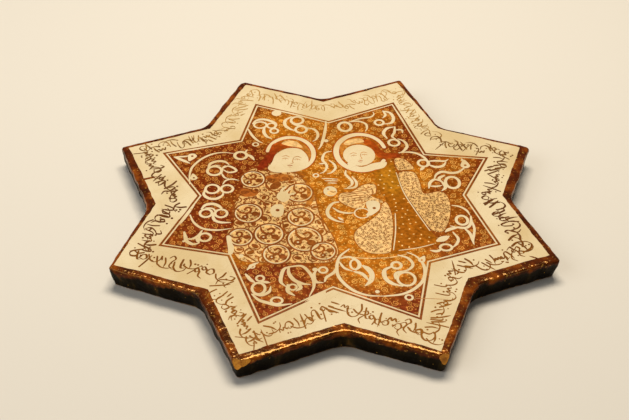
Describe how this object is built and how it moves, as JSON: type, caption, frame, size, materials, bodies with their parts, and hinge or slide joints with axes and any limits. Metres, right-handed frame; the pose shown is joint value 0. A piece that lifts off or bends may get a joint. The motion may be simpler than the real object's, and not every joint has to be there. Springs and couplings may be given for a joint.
{
  "type": "eight-pointed star tile",
  "caption": "Eight-pointed ceramic wall tile, tin-glazed and lustre-painted with seated figures inside a written border, its sides sloping in to a flat back.",
  "frame": {"origin": "centre of the underside's box, on the surface that the tile lies on", "axes": "+Z out of the painted face, +Y towards the top of the picture, +X to the picture's right"},
  "size_m": [0.2916, 0.2908, 0.016],
  "materials": {
    "tin_glaze": "opaque warm white tin glaze, glossy, fired on fritware",
    "lustre": "ruby-brown to golden copper lustre, thin and slightly metallic, painted over the glaze",
    "fritware": "bare buff fritware, matt and gritty, on the back and in the chips"
  },
  "bodies": {
    "root": {"star_tile": "tin_glaze"}
  },
  "joints": []
}
